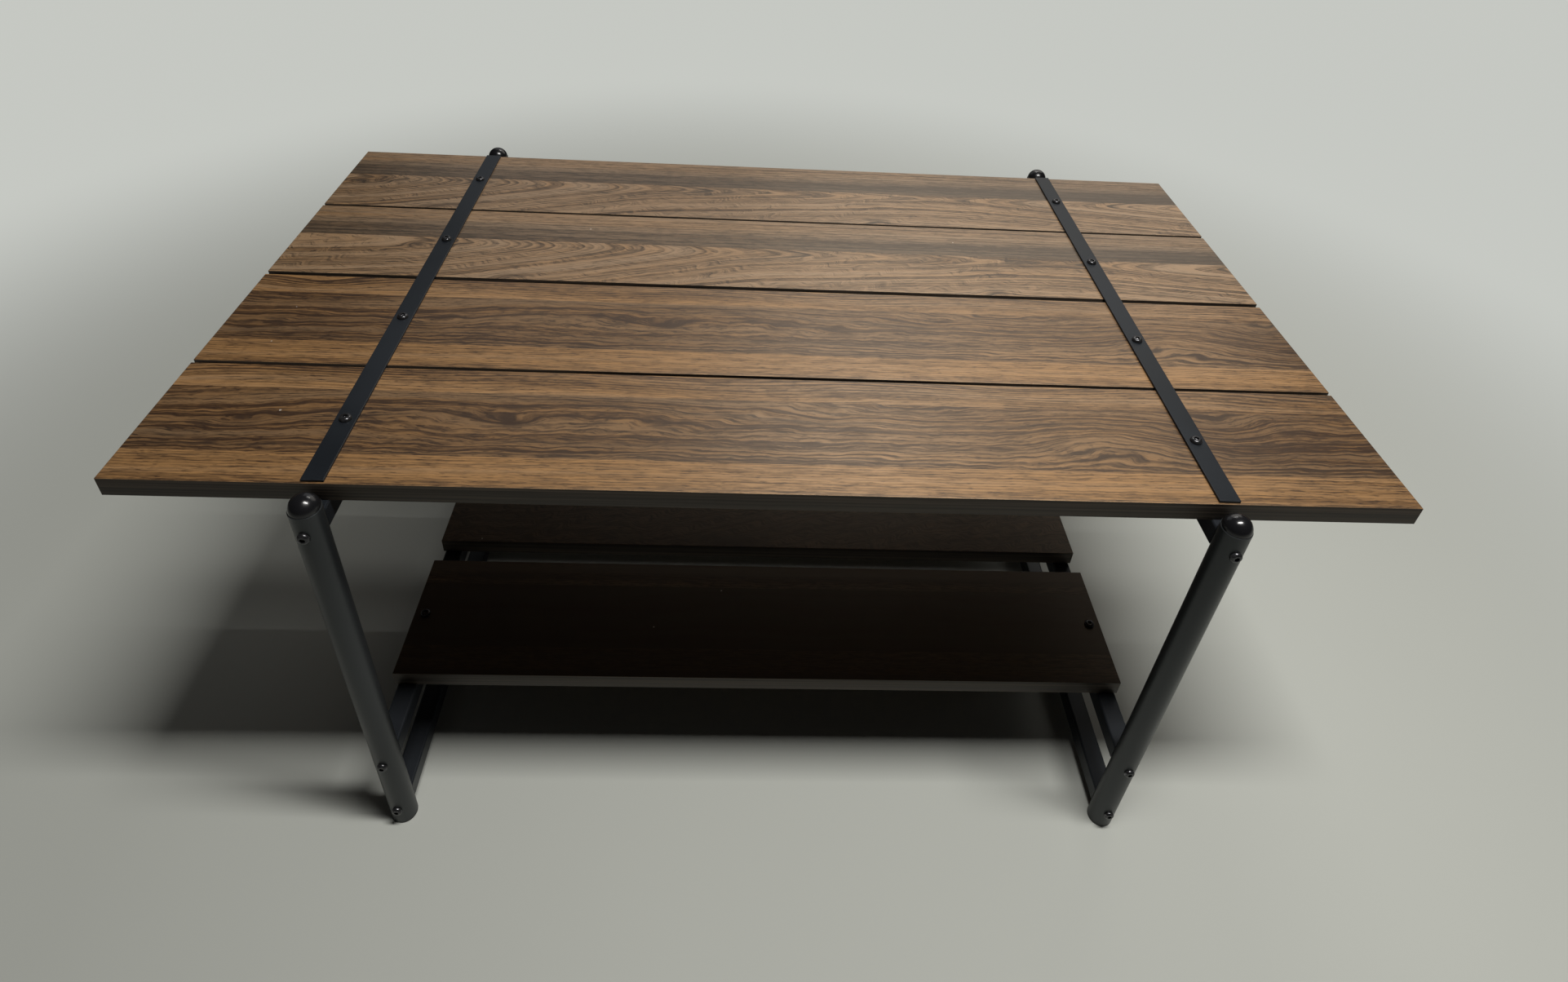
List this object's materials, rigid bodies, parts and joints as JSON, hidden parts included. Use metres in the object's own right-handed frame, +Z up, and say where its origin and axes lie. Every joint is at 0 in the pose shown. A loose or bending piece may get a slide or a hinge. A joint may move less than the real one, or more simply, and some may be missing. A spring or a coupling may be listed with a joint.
{
  "type": "coffee table",
  "caption": "Low rectangular table: plank top held by flat steel straps and bolts on side frames of round legs and square rails, with an open plank shelf below.",
  "frame": {"origin": "on the floor under the middle of the top", "axes": "+Z up, +X to the table's right along its length, +Y to its back"},
  "size_m": [1.067, 0.6694, 0.4628],
  "materials": {
    "walnut_board": "satin wood-print laminate with dark edge band",
    "black_flat_steel": "satin black paint",
    "black_rail": "satin black paint",
    "charcoal_leg": "fine-textured charcoal powder coat",
    "gloss_cap": "glossy black",
    "foot_plastic": "matt black",
    "black_bolt": "black oxide, slightly shiny",
    "zinc_steel": "zinc plated"
  },
  "bodies": {
    "root": {"front_left_foot_plug": "foot_plastic", "front_left_leg": "charcoal_leg", "front_left_leg_bolts": "black_bolt", "front_left_leg_cap": "gloss_cap", "front_right_foot_plug": "foot_plastic", "front_right_leg": "charcoal_leg", "front_right_leg_bolts": "black_bolt", "front_right_leg_cap": "gloss_cap", "left_foot_rail": "black_rail", "left_rail_end_blocks": "zinc_steel", "left_shelf_bolts": "black_bolt", "left_shelf_rail": "black_rail", "left_shelf_rail_nuts": "zinc_steel", "left_strap": "black_flat_steel", "left_strap_bolts": "black_bolt", "left_upper_rail": "black_rail", "left_upper_rail_nuts": "zinc_steel", "rear_left_foot_plug": "foot_plastic", "rear_left_leg": "charcoal_leg", "rear_left_leg_bolts": "black_bolt", "rear_left_leg_cap": "gloss_cap", "rear_right_foot_plug": "foot_plastic", "rear_right_leg": "charcoal_leg", "rear_right_leg_bolts": "black_bolt", "rear_right_leg_cap": "gloss_cap", "right_foot_rail": "black_rail", "right_rail_end_blocks": "zinc_steel", "right_shelf_bolts": "black_bolt", "right_shelf_rail": "black_rail", "right_shelf_rail_nuts": "zinc_steel", "right_strap": "black_flat_steel", "right_strap_bolts": "black_bolt", "right_upper_rail": "black_rail", "right_upper_rail_nuts": "zinc_steel", "shelf_plank_front": "walnut_board", "shelf_plank_middle": "walnut_board", "shelf_plank_rear": "walnut_board", "top_plank_1": "walnut_board", "top_plank_2": "walnut_board", "top_plank_3": "walnut_board", "top_plank_4": "walnut_board"}
  },
  "joints": []
}
